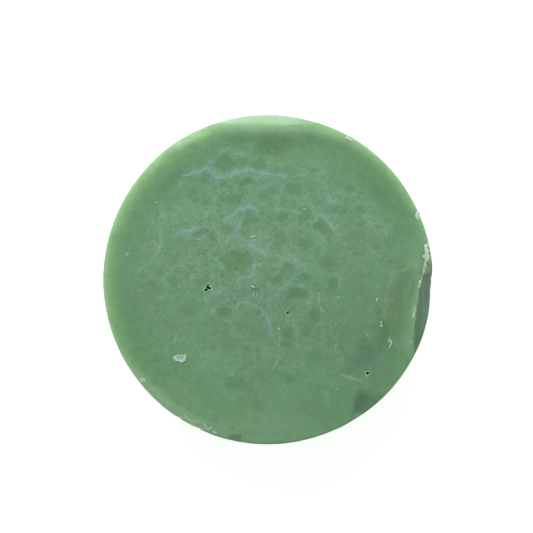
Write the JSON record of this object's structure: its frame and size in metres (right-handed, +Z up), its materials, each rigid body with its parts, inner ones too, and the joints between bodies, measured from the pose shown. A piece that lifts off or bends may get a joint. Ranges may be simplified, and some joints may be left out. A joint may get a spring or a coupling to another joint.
{
  "type": "shaving soap puck",
  "caption": "Round puck of hard green shaving soap with a broken rim, dents, bubble pits and loose dry shards; lathered with a wet brush.",
  "frame": {"origin": "centre of the base, on the surface the puck lies on", "axes": "+Z up out of the lathering face, along the puck's axis; +X towards the broken side of the rim, +Y towards the pressed bevel"},
  "size_m": [0.07, 0.07, 0.0244],
  "materials": {
    "soap": "slightly translucent, waxy, semi-matt, with a pale bloom of veins",
    "dry_soap": "dry, chalky, matt"
  },
  "bodies": {
    "root": {"soap_puck": "soap", "face_flake": "dry_soap", "face_crumbs": "dry_soap", "groove_crumbs": "dry_soap", "break_edge_shards": "dry_soap", "right_rim_shard": "dry_soap", "top_rim_shards": "dry_soap", "left_rim_shards": "dry_soap", "lower_rim_shaving": "dry_soap"}
  },
  "joints": []
}
